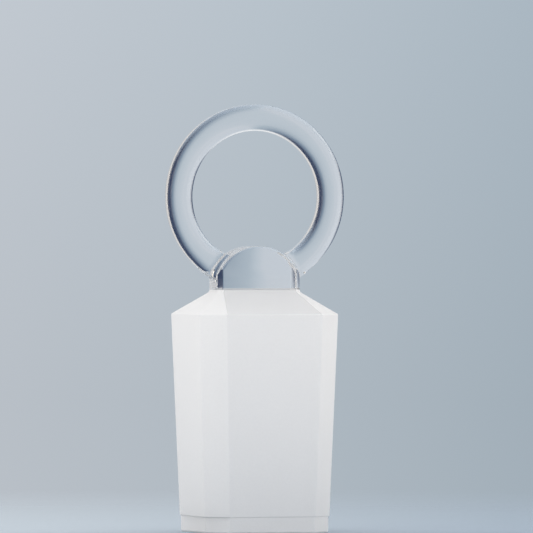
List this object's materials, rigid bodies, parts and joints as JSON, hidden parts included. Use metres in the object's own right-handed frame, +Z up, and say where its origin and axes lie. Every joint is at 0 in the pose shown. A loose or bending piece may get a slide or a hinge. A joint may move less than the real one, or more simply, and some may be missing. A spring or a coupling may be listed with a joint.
{
  "type": "glass stopper",
  "caption": "Clear glass stopper with a tapered ground plug of cut-corner square plan, a sloping shoulder, a narrow arched collar and an upright flat finger ring.",
  "frame": {"origin": "middle of the foot's flat base", "axes": "+Z up along the plug's taper to the ring; the ring stands in the XZ plane, with +Y through its finger hole"},
  "size_m": [0.0322, 0.0254, 0.0749],
  "materials": {
    "clear_glass": "polished ring, collar, shoulder and foot, with finely ground plug sides"
  },
  "bodies": {
    "root": {"stopper": "clear_glass"}
  },
  "joints": []
}
